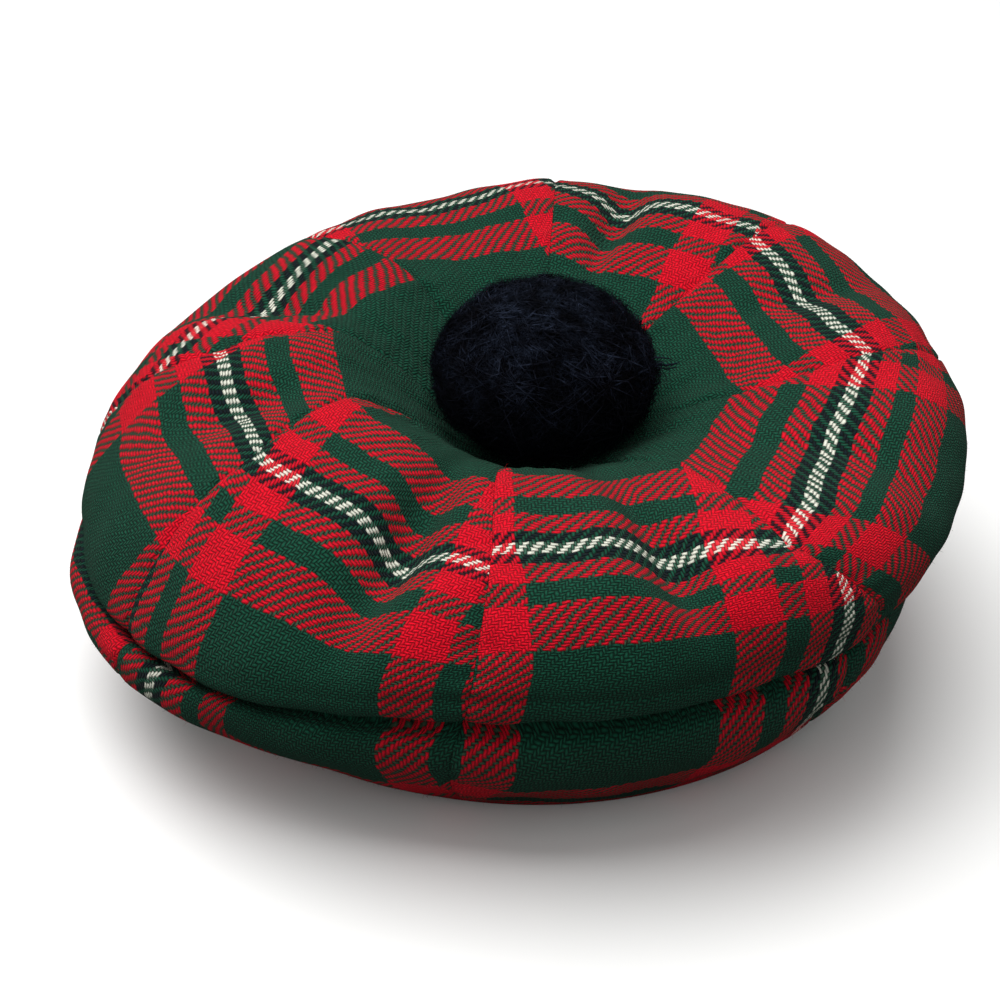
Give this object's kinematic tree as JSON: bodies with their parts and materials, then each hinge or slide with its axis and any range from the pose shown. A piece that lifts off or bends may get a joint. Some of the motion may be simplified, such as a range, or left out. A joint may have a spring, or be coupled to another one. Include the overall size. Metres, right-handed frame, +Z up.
{
  "type": "tam o shanter",
  "caption": "Soft round cloth cap with a full tartan crown sunken at its centre, a rolled rim, a headband at the opening and a yarn pompom on top.",
  "frame": {"origin": "bottom centre of the bounding box, on the plane the headband's lower edge rests on", "axes": "+Z up through the crown, -Y towards the front that the picture shows, +X to its right"},
  "size_m": [0.264, 0.2586, 0.1234],
  "materials": {
    "tartan_cloth": "matt brushed wool twill",
    "pompom_yarn": "matt fluffy cut yarn"
  },
  "bodies": {
    "root": {"gore_1": "tartan_cloth", "gore_2": "tartan_cloth", "gore_3": "tartan_cloth", "gore_4": "tartan_cloth", "gore_5": "tartan_cloth", "gore_6": "tartan_cloth", "gore_7": "tartan_cloth", "gore_8": "tartan_cloth", "headband": "tartan_cloth", "pompom": "pompom_yarn", "pompom_tie": "pompom_yarn"}
  },
  "joints": []
}
